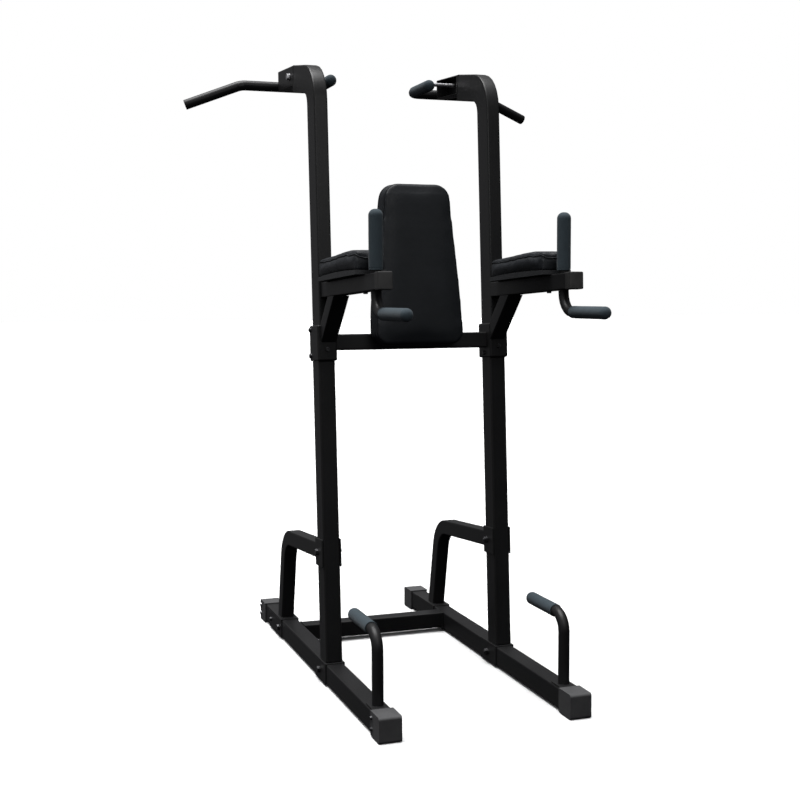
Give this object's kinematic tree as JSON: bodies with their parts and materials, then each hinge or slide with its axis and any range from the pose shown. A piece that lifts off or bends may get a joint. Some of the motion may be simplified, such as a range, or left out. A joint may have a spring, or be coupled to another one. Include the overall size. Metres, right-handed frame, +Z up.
{
  "type": "power tower",
  "caption": "Free-standing steel tower for pull-ups, dips, knee raises and push-ups, with padded back and arm rests on a braced two-rail base.",
  "frame": {"origin": "middle of the footprint's bounding box, on the floor", "axes": "+Z up, +Y towards the pull-up side (rear), -Y towards the dip side (front), X = 0 is the plane of symmetry"},
  "size_m": [1.3506, 1.702, 2.1239],
  "materials": {
    "frame_steel": "satin black powder coat",
    "foot_rubber": "moulded matt dark grey rubber",
    "grip_foam": "closed-cell foam with a fine open grain",
    "pad_vinyl": "black grained vinyl, sewn at the edges",
    "pad_board": "plywood with a black cover",
    "cap_plastic": "ribbed dark grey moulded plastic",
    "zinc": "bright zinc plating",
    "dark_bolt": "black oxide on steel"
  },
  "bodies": {
    "root": {"arm_beam_left": "frame_steel", "arm_beam_right": "frame_steel", "arm_end_cap_left": "cap_plastic", "arm_end_cap_right": "cap_plastic", "arm_strut_left": "frame_steel", "arm_strut_right": "frame_steel", "back_pad": "pad_vinyl", "back_pad_board": "pad_board", "back_pad_support": "frame_steel", "base_crossbar": "frame_steel", "base_rail_left": "frame_steel", "base_rail_right": "frame_steel", "brace_saddle_bolt_left": "dark_bolt", "brace_saddle_bolt_right": "dark_bolt", "brace_saddle_left": "frame_steel", "brace_saddle_right": "frame_steel", "brace_yoke_bolt_left": "dark_bolt", "brace_yoke_bolt_right": "dark_bolt", "brace_yoke_left": "frame_steel", "brace_yoke_right": "frame_steel", "dip_grip_left": "grip_foam", "dip_grip_right": "grip_foam", "elbow_pad_board_left": "pad_board", "elbow_pad_board_right": "pad_board", "elbow_pad_left": "pad_vinyl", "elbow_pad_right": "pad_vinyl", "foot_front_left": "foot_rubber", "foot_front_right": "foot_rubber", "foot_rear_left": "foot_rubber", "foot_rear_right": "foot_rubber", "grip_tie_bolt_left": "zinc", "grip_tie_bolt_right": "zinc", "handle_tube_left": "frame_steel", "handle_tube_right": "frame_steel", "lower_upright_left": "frame_steel", "lower_upright_right": "frame_steel", "mid_crossbar": "frame_steel", "pull_up_bar_left": "frame_steel", "pull_up_bar_right": "frame_steel", "pull_up_bracket_left": "frame_steel", "pull_up_bracket_right": "frame_steel", "pull_up_grip_left": "grip_foam", "pull_up_grip_right": "grip_foam", "push_up_grip_left": "grip_foam", "push_up_grip_right": "grip_foam", "push_up_handle_left": "frame_steel", "push_up_handle_right": "frame_steel", "rear_brace_left": "frame_steel", "rear_brace_right": "frame_steel", "upper_upright_left": "frame_steel", "upper_upright_right": "frame_steel", "upright_joint_left": "frame_steel", "upright_joint_right": "frame_steel", "upright_saddle_bolt_left": "dark_bolt", "upright_saddle_bolt_right": "dark_bolt", "upright_saddle_left": "frame_steel", "upright_saddle_right": "frame_steel", "vertical_grip_left": "grip_foam", "vertical_grip_right": "grip_foam"}
  },
  "joints": []
}
